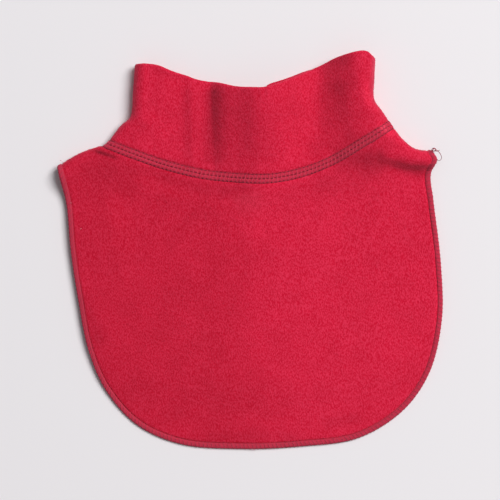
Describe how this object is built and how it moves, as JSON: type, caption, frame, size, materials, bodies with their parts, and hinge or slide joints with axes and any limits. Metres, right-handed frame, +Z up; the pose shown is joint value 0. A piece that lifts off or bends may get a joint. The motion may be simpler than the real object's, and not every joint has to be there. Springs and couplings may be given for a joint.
{
  "type": "neck warmer",
  "caption": "Child's fleece neck warmer lying flat: doubled stand-up collar sewn with a flat seam to a rounded bib that folds over the shoulders to a shorter back lobe.",
  "frame": {"origin": "middle of the footprint, on the surface it lies on", "axes": "+Z up from the surface through the lying piece, front lobe up; +Y towards the collar's mouth; +X to the right as seen from above"},
  "size_m": [0.257, 0.265, 0.0257],
  "materials": {
    "fleece": "brushed fleece, red",
    "thread": "fleece edge covered with red sewing thread"
  },
  "bodies": {
    "root": {"collar": "fleece", "bib": "fleece", "neck_seam": "thread", "hem": "thread"}
  },
  "joints": []
}
